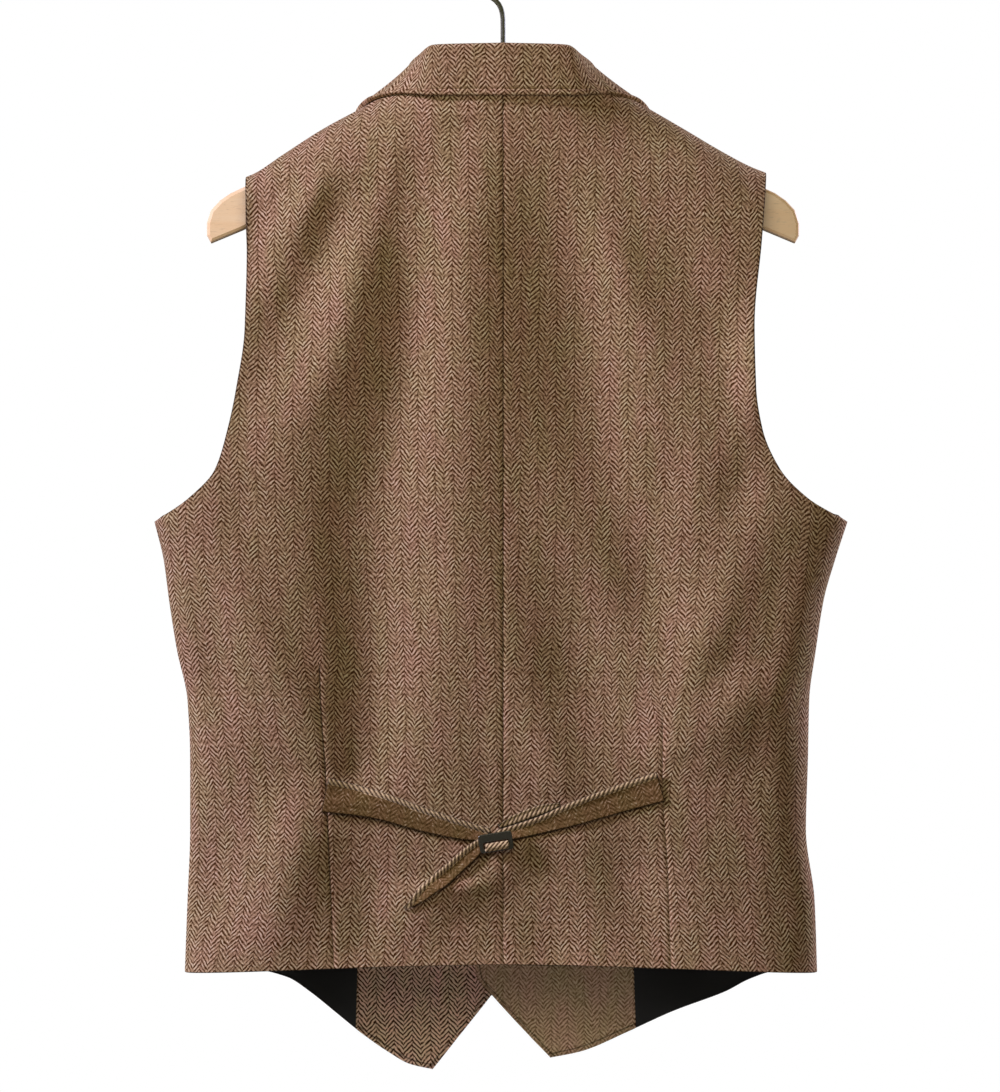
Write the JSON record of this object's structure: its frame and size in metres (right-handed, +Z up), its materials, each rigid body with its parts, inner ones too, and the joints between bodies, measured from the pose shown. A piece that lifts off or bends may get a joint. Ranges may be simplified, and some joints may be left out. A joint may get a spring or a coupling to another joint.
{
  "type": "suit waistcoat on a clothes hanger",
  "caption": "Tweed suit waistcoat with collar, lapels and a cinched back, hanging on a shaped wooden hanger with a wire hook.",
  "frame": {"origin": "inside of the hook's loop at its top, where a rail carries it", "axes": "+Z up, the waistcoat's front faces -Y and its back +Y, the wearer's left is +X"},
  "size_m": [0.525, 0.0879, 0.8509],
  "materials": {
    "tweed": "brown herringbone wool tweed, matt with a light nap",
    "facing_tweed": "brown herringbone wool tweed, inside",
    "lining": "black satin lining",
    "wood": "pale beech, clear lacquer",
    "steel": "plated steel wire",
    "blackened_metal": "blackened zinc alloy",
    "horn": "dark brown imitation horn"
  },
  "bodies": {
    "root": {"back_left": "tweed", "back_right": "tweed", "front_left": "tweed", "front_right": "tweed", "facing_left": "facing_tweed", "facing_right": "facing_tweed", "lining_left": "lining", "lining_right": "lining", "lapel_left": "tweed", "lapel_right": "tweed", "collar": "tweed", "strap_left": "tweed", "strap_right": "tweed", "strap_turn": "tweed", "strap_tail": "tweed", "strap_loop": "tweed", "slide": "blackened_metal", "button_1": "horn", "button_2": "horn", "button_3": "horn", "button_4": "horn", "button_5": "horn", "hanger": "wood", "hook": "steel"}
  },
  "joints": []
}
